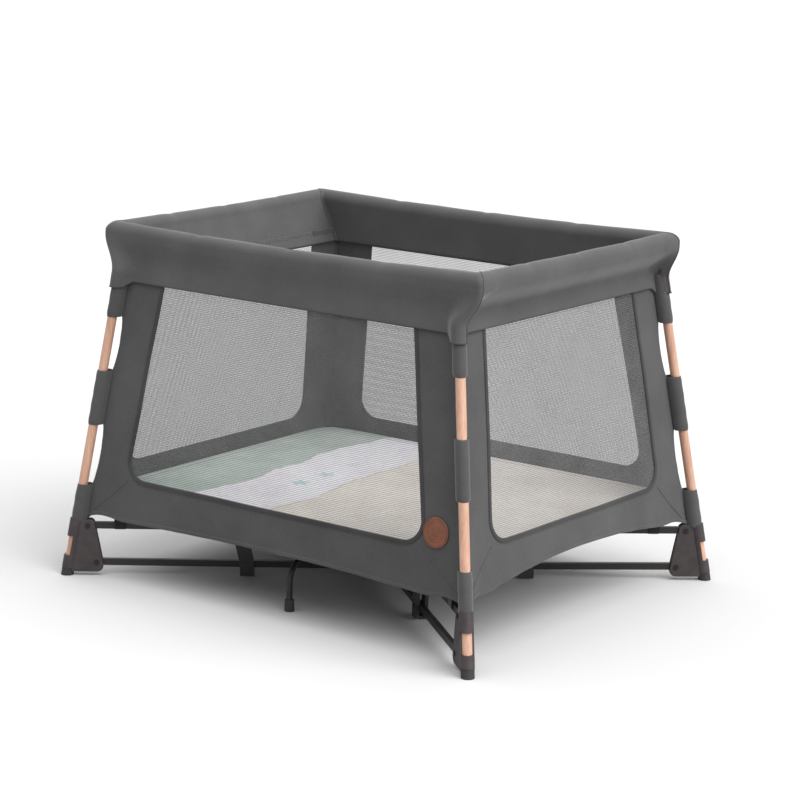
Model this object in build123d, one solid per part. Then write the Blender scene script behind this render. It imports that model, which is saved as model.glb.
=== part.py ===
"""A folding playpen: four leaning legs, an umbrella frame of paired arms on a central hub,
a padded rim on folding rails, walls with mesh windows, a fabric floor and a loose mattress.

Millimetres. +X runs along the long side, +Y towards the rear, +Z up. The origin is on the floor
under the centre. Corner pieces are made in the rear right quadrant (+X, +Y) and mirrored.
"""
from build123d import *
import math
import os

# ---- driving dimensions -------------------------------------------------------------------
FOOT_X = 527.0            # leg axis at the floor, from the centre along the long side
FOOT_Y = 427.0            # and along the short side
LEAN = 0.180              # inward travel of a leg along its diagonal for each unit of height
LEG_RADIUS = 10.0
LEG_WALL = 1.5
LEG_TOP_Z = 652.0
RIM_TOP_Z = 753.0
RIM_HALF_X = 480.0        # outside of the padded rim
RIM_HALF_Y = 350.0
RIM_THICK = 39.0          # across the padded rim
RIM_DEPTH = 120.0         # from the top of the rim to its hem
HEM_Z = 140.0             # lower edge of the walls
FLOOR_Z = 155.0           # underside of the fabric floor
MATTRESS_TOP_Z = 195.0

ARM_LENGTH_R = 555.0      # run of an arm along the diagonal
ARM_RISE = 3.5            # how much higher its outer end sits
ARM_HEIGHT = 14.0
ARM_WIDTH = 10.0
HUB_PIVOT = (60.0, 25.0)  # lower arm at the hub: distance along the diagonal, height
PIVOT_STEP = (18.0, 80.0) # from each lower arm pivot to the upper arm pivot above it
LINK_AT = 237.0           # run along the arms from the hub pivots to the link

PIN_RADIUS = 3.0
PIN_CLEARANCE = 0.05
OPEN_CLEARANCE = 0.35     # at the pivots where the closed linkage is opened
SLOT_GAP = 0.6            # on each side of an arm in its slot

RAIL_Z = 733.0
RAIL_RADIUS = 7.0
RAIL_WALL = 1.5
LONG_RAIL_Y = 333.0       # centre line of the long rails
LONG_PIVOT_X = 405.0
SHORT_RAIL_X = 461.0      # centre line of the short rails
SHORT_PIVOT_Y = 318.0
RAIL_MID_GAP = 10.0       # from the mid-side plane to the middle pivot of a half rail

# ---- worked out from them -----------------------------------------------------------------
DIAGONAL = math.hypot(FOOT_X, FOOT_Y)
ALPHA = math.degrees(math.atan2(FOOT_Y, FOOT_X))
LEAN_X = LEAN * FOOT_X / DIAGONAL
LEAN_Y = LEAN * FOOT_Y / DIAGONAL
BRACKET_PIVOT = (HUB_PIVOT[0] + ARM_LENGTH_R, HUB_PIVOT[1] + ARM_RISE)
LINK_PIVOT = (HUB_PIVOT[0] + LINK_AT, HUB_PIVOT[1] + ARM_RISE * LINK_AT / ARM_LENGTH_R)

CORNERS = {
    "rear_right": (1, 1),
    "rear_left": (-1, 1),
    "front_right": (1, -1),
    "front_left": (-1, -1),
}


# ---- helpers ------------------------------------------------------------------------------
def up(pivot):
    """The upper arm pivot that stands over a lower arm pivot."""
    return (pivot[0] + PIVOT_STEP[0], pivot[1] + PIVOT_STEP[1])


def leg_point(z, inset_x=0.0, inset_y=0.0):
    """Where the rear right leg's axis is at a height, moved in by the insets."""
    return (FOOT_X - LEAN_X * z - inset_x, FOOT_Y - LEAN_Y * z - inset_y, z)


def leg_r(z):
    """Distance of the leg's axis from the centre along the diagonal."""
    return DIAGONAL - LEAN * z


def rod(start, end, radius):
    """A round bar between two points."""
    a, b = Vector(*start), Vector(*end)
    plane = Plane(origin=a, z_dir=b - a)
    return plane * Cylinder(radius, (b - a).length, align=(Align.CENTER, Align.CENTER, Align.MIN))


def leg_rod(z0, z1, radius):
    """A round bar along the leg's axis, in the diagonal's own plane (X along the diagonal)."""
    return rod((leg_r(z0), 0, z0), (leg_r(z1), 0, z1), radius)


def plate(outline, width, offset=0.0):
    """A flat plate in the X-Z plane from an outline of (x, z) points, centred on y = offset."""
    face = make_face(Polyline(*[(x, offset, z) for x, z in outline], close=True))
    return extrude(face, width / 2, dir=(0, 1, 0), both=True)


def cross_pin(at, radius, width, offset=0.0):
    """A cylinder along Y through an (x, z) point."""
    x, z = at
    return rod((x, offset - width / 2, z), (x, offset + width / 2, z), radius)


def bar(a, b, height, width):
    """A straight bar with round ends between two (x, z) points."""
    run = Vector(b[0] - a[0], 0, b[1] - a[1])
    side = run.cross(Vector(0, 1, 0)).normalized() * (height / 2)
    body = plate([(a[0] + side.X, a[1] + side.Z), (b[0] + side.X, b[1] + side.Z),
                  (b[0] - side.X, b[1] - side.Z), (a[0] - side.X, a[1] - side.Z)], width)
    return body + cross_pin(a, height / 2, width) + cross_pin(b, height / 2, width)


def on_diagonal(shape):
    """Turn a piece from the X-Z plane onto the rear right diagonal."""
    return Rot(0, 0, ALPHA) * shape


def to_corner(shape, corner):
    """Mirror a rear right piece into its corner."""
    sx, sy = CORNERS[corner]
    if sx < 0:
        shape = mirror(shape, about=Plane.YZ)
    if sy < 0:
        shape = mirror(shape, about=Plane.XZ)
    return shape


def save(shape, name):
    """Write one node. A list is a group of separate solids."""
    if isinstance(shape, list):
        shape = Compound(children=shape)
    export_step(shape, f"parts/{name}.step")


# ---- leg and foot -------------------------------------------------------------------------
FOOT_CAP_Z = 16.0         # height of the rubber under the tube
SPIGOT_TOP_Z = 34.0
FOOT_RADIUS = 13.2
COLLAR_RADIUS = 14.0
COLLAR_Z = (86.0, 122.0)
BOOT_Z = (FOOT_CAP_Z + 0.5, 44.0)
BRACKET_WIDTH = 21.0
SLOT_WIDTH = ARM_WIDTH + 2 * SLOT_GAP
PIN_HEAD = 2.0


def leg_tube():
    return on_diagonal(leg_rod(FOOT_CAP_Z, LEG_TOP_Z, LEG_RADIUS)
                       - leg_rod(FOOT_CAP_Z, LEG_TOP_Z, LEG_RADIUS - LEG_WALL))


def rubber_foot():
    """A cap on the floor with a spigot up inside the tube."""
    cap = leg_rod(-10.0, FOOT_CAP_Z, FOOT_RADIUS)
    cap = cap & Pos(DIAGONAL, 0, 50) * Box(100, 100, 100)
    return on_diagonal(cap + leg_rod(FOOT_CAP_Z - 1, SPIGOT_TOP_Z, LEG_RADIUS - LEG_WALL - 0.1))


def foot_bracket():
    """A moulded plate in the diagonal plane: a collar and a boot round the leg, two cheeks
    that hold the ends of both arms, and a window that shows the tube from outside."""
    low, high = BRACKET_PIVOT, up(BRACKET_PIVOT)
    heel, crown = (low[0] - 17, 8), (high[0] - 13, 122)
    body = plate([heel, (leg_r(8), 8), (leg_r(122), 122), crown], BRACKET_WIDTH)
    for corner, radius in ((heel, 14.0), (crown, 11.0)):
        edge = body.edges().filter_by(Axis.Y).sort_by_distance(Vector(corner[0], 0, corner[1]))[0]
        body = fillet(edge, radius)
    rims = [e for e in body.edges() if abs(abs(e.center().Y) - BRACKET_WIDTH / 2) < 0.01]
    body = fillet([e for e in rims if e.center().X < leg_r(65) - 2], 1.5)
    body += leg_rod(BOOT_Z[0], COLLAR_Z[1], COLLAR_RADIUS)
    body -= Pos(DIAGONAL - 4, 0, -20) * Box(100, 60, 48)
    body -= leg_rod(-20, 140, LEG_RADIUS + 0.02)
    body -= leg_rod(-20, FOOT_CAP_Z + 0.5, FOOT_RADIUS + 0.5)
    window = [(leg_r(BOOT_Z[1]) + 1, BOOT_Z[1]), (leg_r(BOOT_Z[1]) + 40, BOOT_Z[1]),
              (leg_r(COLLAR_Z[0]) + 40, COLLAR_Z[0]), (leg_r(COLLAR_Z[0]) + 1, COLLAR_Z[0])]
    body -= plate(window, 60)
    back = 9.0                # depth of the slot behind the pivots
    slot = [(low[0] + back, low[1] - 40), (low[0] + back, low[1]), (high[0] + back, high[1]),
            (high[0] + back, high[1] + 40), (low[0] - 80, high[1] + 40), (low[0] - 80, low[1] - 40)]
    body -= plate(slot, SLOT_WIDTH)
    for pivot in (low, high):
        body -= cross_pin(pivot, PIN_RADIUS, 60)
    return on_diagonal(body)


def headed_pin(at, grip, offset=0.0):
    """A pin with a low round head on both sides."""
    pin = cross_pin(at, PIN_RADIUS, grip, offset)
    for side in (-1, 1):
        pin += cross_pin(at, PIN_RADIUS + 2.5, PIN_HEAD, offset + side * (grip + PIN_HEAD) / 2)
    return pin


def bracket_pins():
    return [on_diagonal(headed_pin(p, BRACKET_WIDTH)) for p in (BRACKET_PIVOT, up(BRACKET_PIVOT))]


# ---- arms and links -----------------------------------------------------------------------
LINK_HALF = 15.0
LINK_WIDTH = 26.0


def arm(hub_pivot, link_pivot, bracket_pivot, open_ends):
    """An arm from the hub to a bracket, bored for its three pins."""
    body = bar(hub_pivot, bracket_pivot, ARM_HEIGHT, ARM_WIDTH)
    body -= cross_pin(hub_pivot, PIN_RADIUS + PIN_CLEARANCE, 40)
    slack = OPEN_CLEARANCE if open_ends else PIN_CLEARANCE
    for pivot in (link_pivot, bracket_pivot):
        body -= cross_pin(pivot, PIN_RADIUS + slack, 40)
    return on_diagonal(body)


def arm_link():
    """A leaning yoke that keeps the two arms parallel: two side plates joined by a shoe that
    stands just off the floor, with its two rivets."""
    low, high = LINK_PIVOT, up(LINK_PIVOT)
    slope = PIVOT_STEP[0] / PIVOT_STEP[1]
    bottom, top = 2.0, high[1] + 11

    def x_at(z):
        return low[0] + slope * (z - low[1]) if z > low[1] else low[0]

    outline = [(x_at(bottom) - LINK_HALF, bottom), (x_at(bottom) + LINK_HALF, bottom),
               (low[0] + LINK_HALF, low[1]), (x_at(top) + LINK_HALF, top), (x_at(top) - LINK_HALF, top),
               (low[0] - LINK_HALF, low[1])]
    body = plate(outline, LINK_WIDTH)
    corners = [e for e in body.edges().filter_by(Axis.Y) if e.center().Z > top - 1]
    body = fillet(corners, 9.0)
    shoe_edge = low[0] - 5.5
    slot = [(shoe_edge, -20), (shoe_edge, 9), (low[0] - 60, 9), (low[0] - 60, top + 40),
            (high[0] + 60, top + 40), (high[0] + 60, -20)]
    body -= plate(slot, SLOT_WIDTH)
    for pivot in (low, high):
        body -= cross_pin(pivot, PIN_RADIUS, 60)
    solids = list(body.solids())
    return [on_diagonal(s) for s in solids + [headed_pin(p, LINK_WIDTH) for p in (low, high)]]


# ---- hub ----------------------------------------------------------------------------------
HUB_CORE_RADIUS = 30.0
HUB_BORE_RADIUS = 25.0
HUB_PLATE_Z = (112.6, 118.6)
HUB_RADIUS = 86.0
HUB_BOTTOM_Z = 14.0
CHEEK = 4.5
COVER_TOP_Z = 126.6
STEM_RADIUS = 8.0
SUPPORT_PIVOT = (72.0, 103.0)


def cheeks(outline):
    """Two parallel plates, one on each side of an arm's slot."""
    offset = (SLOT_WIDTH + CHEEK) / 2
    return plate(outline, CHEEK, offset) + plate(outline, CHEEK, -offset)


def hub_body():
    """A hollow core under a round plate, with a pair of cheeks for each pair of arms and for
    each support arm."""
    low, high = HUB_PIVOT, up(HUB_PIVOT)
    body = Pos(0, 0, HUB_BOTTOM_Z) * Cylinder(HUB_CORE_RADIUS, HUB_PLATE_Z[0] - HUB_BOTTOM_Z,
                                              align=(Align.CENTER, Align.CENTER, Align.MIN))
    body += Pos(0, 0, HUB_PLATE_Z[0]) * Cylinder(HUB_RADIUS, HUB_PLATE_Z[1] - HUB_PLATE_Z[0],
                                                 align=(Align.CENTER, Align.CENTER, Align.MIN))
    arm_cheeks = cheeks([(26, HUB_BOTTOM_Z), (low[0] + 6, HUB_BOTTOM_Z), (low[0] + 10, low[1]),
                         (high[0] + 8, high[1] - 8), (high[0] + 8, HUB_PLATE_Z[0]), (26, HUB_PLATE_Z[0])])
    for angle in (ALPHA, 180 - ALPHA, 180 + ALPHA, -ALPHA):
        body += Rot(0, 0, angle) * arm_cheeks
    x, z = SUPPORT_PIVOT
    support_cheeks = cheeks([(26, z - 20), (x, z - 9), (x + 9, z), (x + 9, HUB_PLATE_Z[0]),
                             (26, HUB_PLATE_Z[0])])
    for angle in (90, -90):
        body += Rot(0, 0, angle) * support_cheeks
    body -= Pos(0, 0, HUB_BOTTOM_Z - 1) * Cylinder(HUB_BORE_RADIUS, HUB_PLATE_Z[0] - HUB_BOTTOM_Z + 1,
                                                   align=(Align.CENTER, Align.CENTER, Align.MIN))
    body -= rod((0, 0, 50), (0, 0, 200), STEM_RADIUS + PIN_CLEARANCE)
    for angle in (ALPHA, 180 - ALPHA, 180 + ALPHA, -ALPHA):
        for pivot in (low, high):
            body -= Rot(0, 0, angle) * cross_pin(pivot, PIN_RADIUS, 40)
    for angle in (90, -90):
        body -= Rot(0, 0, angle) * cross_pin(SUPPORT_PIVOT, PIN_RADIUS, 40)
    return body


def hub_cover():
    cover = Pos(0, 0, HUB_PLATE_Z[1]) * Cylinder(HUB_RADIUS, COVER_TOP_Z - HUB_PLATE_Z[1],
                                                 align=(Align.CENTER, Align.CENTER, Align.MIN))
    rim = cover.edges().filter_by(GeomType.CIRCLE).sort_by(Axis.Z)[-1]
    cover = fillet(rim, 5.0)
    return cover - rod((0, 0, 50), (0, 0, 200), STEM_RADIUS + PIN_CLEARANCE)


def hub_pins():
    grip = SLOT_WIDTH + 2 * CHEEK
    pins = []
    for angle in (ALPHA, 180 - ALPHA, 180 + ALPHA, -ALPHA):
        for pivot in (HUB_PIVOT, up(HUB_PIVOT)):
            pins.append(Rot(0, 0, angle) * cross_pin(pivot, PIN_RADIUS, grip))
    for angle in (90, -90):
        pins.append(Rot(0, 0, angle) * cross_pin(SUPPORT_PIVOT, PIN_RADIUS, grip))
    return pins


def release_handle():
    """A pull: a stem through the hub cover, a flange that the latch hangs on, a bar on top."""
    stem = rod((0, 0, 72), (0, 0, 130), STEM_RADIUS)
    flange = rod((0, 0, 66), (0, 0, 74), 16.0)
    grip = Pos(0, 0, 133.2) * Box(58, 18, 11)
    grip = fillet(grip.edges(), 4.0)
    return stem + flange + grip


# ---- centre supports ----------------------------------------------------------------------
SUPPORT_TUBE_RADIUS = 6.25
SUPPORT_FOOT_Y = 322.0
SUPPORT_BEND = 46.0
SUPPORT_FOOT_TOP_Z = 25.0
LUG_WIDTH = 10.0


def support_arm():
    """The rear one: out from the hub along +Y, then down to its foot."""
    x0, z0 = SUPPORT_PIVOT
    path = FilletPolyline((x0 + 10, 0, z0), (SUPPORT_FOOT_Y, 0, z0), (SUPPORT_FOOT_Y, 0, 6),
                          radius=SUPPORT_BEND)
    start = Plane(origin=(x0 + 10, 0, z0), z_dir=(1, 0, 0))
    tube = sweep(start * Circle(SUPPORT_TUBE_RADIUS), path=path)
    lug = bar((x0, z0), (x0 + 22, z0), 12.0, LUG_WIDTH)
    body = tube + lug - cross_pin((x0, z0), PIN_RADIUS + PIN_CLEARANCE, 40)
    return Rot(0, 0, 90) * body


def support_foot():
    foot = rod((SUPPORT_FOOT_Y, 0, 0), (SUPPORT_FOOT_Y, 0, SUPPORT_FOOT_TOP_Z), 10.0)
    foot = fillet(foot.edges().filter_by(GeomType.CIRCLE).sort_by(Axis.Z)[-1], 3.0)
    foot -= rod((SUPPORT_FOOT_Y, 0, 6), (SUPPORT_FOOT_Y, 0, 60), SUPPORT_TUBE_RADIUS)
    return Rot(0, 0, 90) * foot


# ---- top corners and rails ----------------------------------------------------------------
SOCKET_Z = (626.0, 656.0)
BLOCK_Z = (712.0, 744.0)
NECK_RADIUS = 11.0
BLOCK_HALF = 10.5         # half width of each arm of the block
RAIL_SLOT = RAIL_RADIUS * 2 + 1.2
RAIL_LUG = 13.0


def neck(radius):
    """The stem that carries the load from the block inside the rim out to the leg."""
    return rod(leg_point(SOCKET_Z[1] - 3), (SHORT_RAIL_X - 12, LONG_RAIL_Y - 2, BLOCK_Z[0] + 6), radius)


def top_corner():
    """A socket on the leg, a neck, and a block that holds the ends of both rails, with their
    pins."""
    socket = rod(leg_point(SOCKET_Z[0]), leg_point(SOCKET_Z[1]), COLLAR_RADIUS)
    x0, x1 = LONG_PIVOT_X - 10, SHORT_RAIL_X + BLOCK_HALF
    y0, y1 = SHORT_PIVOT_Y - 10, LONG_RAIL_Y + BLOCK_HALF
    z0, z1 = BLOCK_Z
    width = 2 * BLOCK_HALF
    long_arm = Pos((x0 + x1) / 2, LONG_RAIL_Y, (z0 + z1) / 2) * Box(x1 - x0, width, z1 - z0)
    short_arm = Pos(SHORT_RAIL_X, (y0 + y1) / 2, (z0 + z1) / 2) * Box(width, y1 - y0, z1 - z0)
    block = long_arm + short_arm
    outer_edge = block.edges().filter_by(Axis.Z).sort_by(lambda e: e.center().X + e.center().Y)[-1]
    body = socket + neck(NECK_RADIUS) + fillet(outer_edge, 14.0)
    body -= rod(leg_point(500), leg_point(LEG_TOP_Z), LEG_RADIUS + 0.02)
    depth = 10.0
    body -= Pos(LONG_PIVOT_X + depth - 100, LONG_RAIL_Y, z1 - 104) * Box(200, RAIL_SLOT, 200)
    body -= Pos(SHORT_RAIL_X, SHORT_PIVOT_Y + depth - 100, z1 - 104) * Box(RAIL_SLOT, 200, 200)
    long_pin = rod((LONG_PIVOT_X, LONG_RAIL_Y - BLOCK_HALF, RAIL_Z),
                   (LONG_PIVOT_X, LONG_RAIL_Y + BLOCK_HALF, RAIL_Z), PIN_RADIUS)
    short_pin = rod((SHORT_RAIL_X - BLOCK_HALF, SHORT_PIVOT_Y, RAIL_Z),
                    (SHORT_RAIL_X + BLOCK_HALF, SHORT_PIVOT_Y, RAIL_Z), PIN_RADIUS)
    body = body - long_pin - short_pin
    return list(body.solids()) + [long_pin, short_pin]


def half_rail(pivot, offset):
    """Half of a folding rail along X: a tube with a lug at its corner pin and a lug at the
    middle of the side. Its middle hinge is the linkage's open pivot."""
    a, b = (RAIL_MID_GAP, RAIL_Z), (pivot, RAIL_Z)
    tube = rod((a[0] + 12, 0, RAIL_Z), (b[0] - 12, 0, RAIL_Z), RAIL_RADIUS)
    body = tube + bar(a, (a[0] + 22, RAIL_Z), 2 * RAIL_RADIUS - 0.4, RAIL_LUG)
    body += bar((b[0] - 22, RAIL_Z), b, 2 * RAIL_RADIUS - 0.4, RAIL_LUG)
    body -= rod((a[0] + 30, 0, RAIL_Z), (b[0] - 30, 0, RAIL_Z), RAIL_RADIUS - RAIL_WALL)
    body -= cross_pin(a, PIN_RADIUS + OPEN_CLEARANCE, 40)
    body -= cross_pin(b, PIN_RADIUS + PIN_CLEARANCE, 40)
    return Pos(0, offset, 0) * body


def long_rail():
    return half_rail(LONG_PIVOT_X, LONG_RAIL_Y)


def short_rail():
    """The same rail turned to run along +Y on the right side."""
    return Pos(SHORT_RAIL_X, 0, 0) * (Rot(0, 0, 90) * half_rail(SHORT_PIVOT_Y, 0))


# ---- soft parts ---------------------------------------------------------------------------
CLOTH = 4.0
WALL_INSET = 12.0         # from the leg axis to the outside of a wall
WALL_TOP_Z = RIM_TOP_Z - RIM_DEPTH - 2.0
SEAM_GAP = 1.0            # between the quarters at the middle of each side
RIM_CORNER = 12.0         # outer corner radius of the rim
RIM_INNER_CORNER = 6.0


def tapered_block(z0, z1, inset):
    """A block whose sides follow the lean of the legs."""
    low, high = leg_point(z0, inset, inset), leg_point(z1, inset, inset)
    faces = [Pos(0, 0, z) * Rectangle(2 * p[0], 2 * p[1]) for z, p in ((z0, low), (z1, high))]
    return loft(faces)


def quarter(shape):
    """The rear right quarter of a shape, short of both middle planes."""
    rear_right = Box(900, 900, 1800, align=(Align.MIN, Align.MIN, Align.CENTER))
    return shape & Pos(SEAM_GAP, SEAM_GAP, 0) * rear_right


def wall():
    """Half a long wall and half a short wall, round the inside of a leg."""
    outside = tapered_block(HEM_Z, WALL_TOP_Z, WALL_INSET)
    inside = tapered_block(HEM_Z - 1, WALL_TOP_Z + 1, WALL_INSET + CLOTH)
    return quarter(outside - inside)


def rim_cover():
    """A quarter of the padded rim: a deep inverted channel over the rails."""
    z_mid = RIM_TOP_Z - RIM_DEPTH / 2

    def ring(inset, z_low, z_high, radius):
        sx, sy = RIM_HALF_X - inset, RIM_HALF_Y - inset
        body = Pos(0, 0, (z_low + z_high) / 2) * Box(2 * sx, 2 * sy, z_high - z_low)
        return fillet(body.edges().filter_by(Axis.Z), radius)

    low = z_mid - RIM_DEPTH / 2
    skin = 3.5
    outer = ring(0, low, RIM_TOP_Z, RIM_CORNER)
    inner = ring(RIM_THICK, low - 10, RIM_TOP_Z + 10, RIM_INNER_CORNER)
    cavity = ring(skin, low - 10, RIM_TOP_Z - skin, RIM_CORNER - skin)
    cavity -= ring(RIM_THICK - skin, low - 20, RIM_TOP_Z, RIM_INNER_CORNER + skin)
    body = outer - inner
    top_edges = [e for e in body.edges() if abs(e.center().Z - RIM_TOP_Z) < 0.1]
    body = fillet(top_edges, 3.0) - cavity
    body = quarter(body)
    body -= rod(leg_point(560), leg_point(SOCKET_Z[1] + 4), COLLAR_RADIUS + 1.0)
    return body - neck(NECK_RADIUS + 1.0)


def floor_panel():
    """The fabric floor, with a hole over the release handle."""
    panel = tapered_block(FLOOR_Z, FLOOR_Z + 3.5, WALL_INSET + CLOTH + 1)
    return panel - rod((0, 0, 100), (0, 0, 200), 48.0)


def mattress():
    z0 = FLOOR_Z + 4.0
    pad = tapered_block(z0, MATTRESS_TOP_Z, WALL_INSET + CLOTH + 7)
    return fillet(pad.edges().filter_by(lambda e: e.length < 60), 14.0)


PATCH_RADIUS = 30.0
PATCH_X = 416.0
PATCH_Z = 254.0


def leather_patch():
    """A round patch on the front wall, beside the right leg."""
    y = -leg_point(PATCH_Z, 0, WALL_INSET)[1]
    out = Vector(0, -1, LEAN_Y).normalized()
    start = Vector(PATCH_X, y, PATCH_Z) + out * 0.4
    return rod(tuple(start), tuple(start + out * 2.0), PATCH_RADIUS)


# ---- write every node ---------------------------------------------------------------------
os.makedirs("parts", exist_ok=True)

LOWER_ARM = arm(HUB_PIVOT, LINK_PIVOT, BRACKET_PIVOT, open_ends=False)
UPPER_ARM = arm(up(HUB_PIVOT), up(LINK_PIVOT), up(BRACKET_PIVOT), open_ends=True)
CORNER_PIECES = {
    "leg_tube": leg_tube(),
    "rubber_foot": rubber_foot(),
    "foot_bracket": foot_bracket(),
    "bracket_pins": bracket_pins(),
    "lower_arm": LOWER_ARM,
    "upper_arm": UPPER_ARM,
    "arm_link": arm_link(),
    "top_corner": top_corner(),
    "wall": wall(),
    "rim_cover": rim_cover(),
}
LONG_RAIL = long_rail()
SHORT_RAIL = short_rail()

for corner in CORNERS:
    for piece, shape in CORNER_PIECES.items():
        if isinstance(shape, list):
            save([to_corner(s, corner) for s in shape], f"{piece}_{corner}")
        else:
            save(to_corner(shape, corner), f"{piece}_{corner}")
    row, side = corner.split("_")
    save(to_corner(LONG_RAIL, corner), f"{row}_rail_{side}")
    save(to_corner(SHORT_RAIL, corner), f"{side}_rail_{row}")

save(support_arm(), "support_arm_rear")
save(support_foot(), "support_foot_rear")
save(mirror(support_arm(), about=Plane.XZ), "support_arm_front")
save(mirror(support_foot(), about=Plane.XZ), "support_foot_front")
save(hub_body(), "hub_body")
save(hub_cover(), "hub_cover")
save(hub_pins(), "hub_pins")
save(release_handle(), "release_handle")
save(floor_panel(), "floor_panel")
save(mattress(), "mattress")
save(leather_patch(), "leather_patch")
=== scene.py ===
"""Folding playpen: fabric, foam, finishes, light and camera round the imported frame. Metres."""
import math

import bmesh
import bpy
from mathutils import Matrix, Vector, noise
from mathutils.geometry import delaunay_2d_cdt


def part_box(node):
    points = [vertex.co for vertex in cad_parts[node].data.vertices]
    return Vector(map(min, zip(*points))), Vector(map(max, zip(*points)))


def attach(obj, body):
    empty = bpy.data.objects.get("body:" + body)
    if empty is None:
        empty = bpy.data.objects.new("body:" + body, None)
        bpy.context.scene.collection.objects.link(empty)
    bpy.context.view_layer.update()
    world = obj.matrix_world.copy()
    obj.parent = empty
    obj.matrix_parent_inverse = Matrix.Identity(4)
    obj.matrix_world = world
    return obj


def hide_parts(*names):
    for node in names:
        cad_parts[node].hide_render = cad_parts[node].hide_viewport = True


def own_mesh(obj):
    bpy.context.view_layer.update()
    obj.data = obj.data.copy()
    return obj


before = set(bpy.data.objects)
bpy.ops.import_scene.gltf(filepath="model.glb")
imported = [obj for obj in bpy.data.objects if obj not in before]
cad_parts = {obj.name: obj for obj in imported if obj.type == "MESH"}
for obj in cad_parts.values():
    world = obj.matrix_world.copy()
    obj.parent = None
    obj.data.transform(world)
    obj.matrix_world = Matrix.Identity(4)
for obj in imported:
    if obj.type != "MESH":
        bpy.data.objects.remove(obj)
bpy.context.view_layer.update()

# ---- sizes, from the frame ----
CORNERS = {"rear_right": (1, 1), "rear_left": (-1, 1), "front_right": (1, -1), "front_left": (-1, -1)}
TUBE_RADIUS = 0.010
TUBE_LOW, TUBE_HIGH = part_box("leg_tube_rear_right")
LEG_RUN = TUBE_HIGH.z - TUBE_LOW.z
# the tube's box is its axis plus the tube's own width at both ends
LEAN_X = (TUBE_HIGH.x - TUBE_LOW.x - 2 * TUBE_RADIUS) / LEG_RUN
LEAN_Y = (TUBE_HIGH.y - TUBE_LOW.y - 2 * TUBE_RADIUS) / LEG_RUN
FOOT_X = TUBE_HIGH.x - TUBE_RADIUS + LEAN_X * TUBE_LOW.z
FOOT_Y = TUBE_HIGH.y - TUBE_RADIUS + LEAN_Y * TUBE_LOW.z
RIM_LOW, RIM_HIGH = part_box("rim_cover_rear_right")
RIM_TOP = RIM_HIGH.z
RIM_X = RIM_HIGH.x
RIM_Y = RIM_HIGH.y
RIM_THICK = 0.039
HEM_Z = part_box("wall_rear_right")[0].z
RIM_HEM_Z = RIM_LOW.z
MATTRESS_LOW, MATTRESS_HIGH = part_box("mattress")
PANEL_LOW, PANEL_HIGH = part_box("floor_panel")
WALL_INSET = 0.0125        # from the leg's axis to the outer face of a wall
DIAGONAL = math.hypot(FOOT_X, FOOT_Y)
ALONG = Vector((FOOT_X / DIAGONAL, FOOT_Y / DIAGONAL, 0))
ACROSS = Vector((-ALONG.y, ALONG.x, 0))


def leg_at(z):
    """The rear right leg's axis at a height."""
    return Vector((FOOT_X - LEAN_X * z, FOOT_Y - LEAN_Y * z, z))


# ---- material helpers ----
class Nodes:
    """A short way to write a material's nodes."""

    def __init__(self, name):
        self.material = bpy.data.materials.new(name)
        self.material.use_nodes = True
        self.tree = self.material.node_tree
        self.bsdf = self.tree.nodes["Principled BSDF"]

    def add(self, kind, **values):
        node = self.tree.nodes.new("ShaderNode" + kind)
        for key, value in values.items():
            if hasattr(node, key):
                setattr(node, key, value)
            else:
                node.inputs[key.replace("_", " ")].default_value = value
        return node

    def link(self, a, b):
        self.tree.links.new(a, b)

    def feed(self, value, socket):
        """Link a socket, or set it to a number or a colour. None leaves it alone."""
        if isinstance(value, bpy.types.NodeSocket):
            self.link(value, socket)
        elif value is not None:
            socket.default_value = (*value, 1) if isinstance(value, tuple) else value

    def surface(self, **values):
        for key, value in values.items():
            self.feed(value, self.bsdf.inputs[key.replace("_", " ")])

    def position(self, scale=(1, 1, 1), source="Object"):
        """The place on the object at rest, or on its flat cloth with source UV, in metres."""
        coord = self.add("TexCoord")
        mapping = self.add("Mapping")
        mapping.inputs["Scale"].default_value = scale
        self.link(coord.outputs[source], mapping.inputs["Vector"])
        return mapping.outputs["Vector"]

    def noise(self, vector, scale, detail=2.0, roughness=0.5):
        node = self.add("TexNoise", Scale=scale, Detail=detail, Roughness=roughness)
        self.link(vector, node.inputs["Vector"])
        return node.outputs["Fac"]

    def math(self, operation, a, b=None, clamp=False):
        node = self.add("Math", operation=operation, use_clamp=clamp)
        self.feed(a, node.inputs[0])
        self.feed(b, node.inputs[1])
        return node.outputs[0]

    def times(self, a, b):
        return self.math("MULTIPLY", a, b)

    def plus(self, a, b):
        return self.math("ADD", a, b)

    def ramp(self, fac, stops):
        node = self.add("ValToRGB")
        elements = node.color_ramp.elements
        while len(elements) < len(stops):
            elements.new(0.5)
        for element, (place, colour) in zip(elements, stops):
            element.position = place
            element.color = (*colour, 1)
        self.link(fac, node.inputs["Fac"])
        return node.outputs["Color"]

    def mix(self, fac, a, b, blend="MIX"):
        node = self.add("Mix", data_type="RGBA", blend_type=blend)
        for value, socket in ((fac, 0), (a, 6), (b, 7)):
            self.feed(value, node.inputs[socket])
        return node.outputs[2]

    def bump(self, height, strength, distance, under=None):
        node = self.add("Bump", Strength=strength, Distance=distance)
        self.link(height, node.inputs["Height"])
        self.feed(under, node.inputs["Normal"])
        return node.outputs["Normal"]

    def weave(self, vector, threads):
        """Warp and weft crossing, as a height from 0 to 1."""
        split = self.add("SeparateXYZ")
        self.link(vector, split.inputs[0])
        waves = []
        for axis in "XYZ":
            waves.append(self.math("SINE", self.times(split.outputs[axis], threads * 2 * math.pi)))
        pair = self.times(waves[0], waves[1])
        return self.plus(self.times(self.plus(pair, waves[2]), 0.25), 0.5)


THREADS_PER_METRE = 700
NET_PERIOD = 0.0044        # from one hole of the netting to the next
NET_BASE = 0.115           # how much the netting covers where its yarns are thinnest


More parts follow.
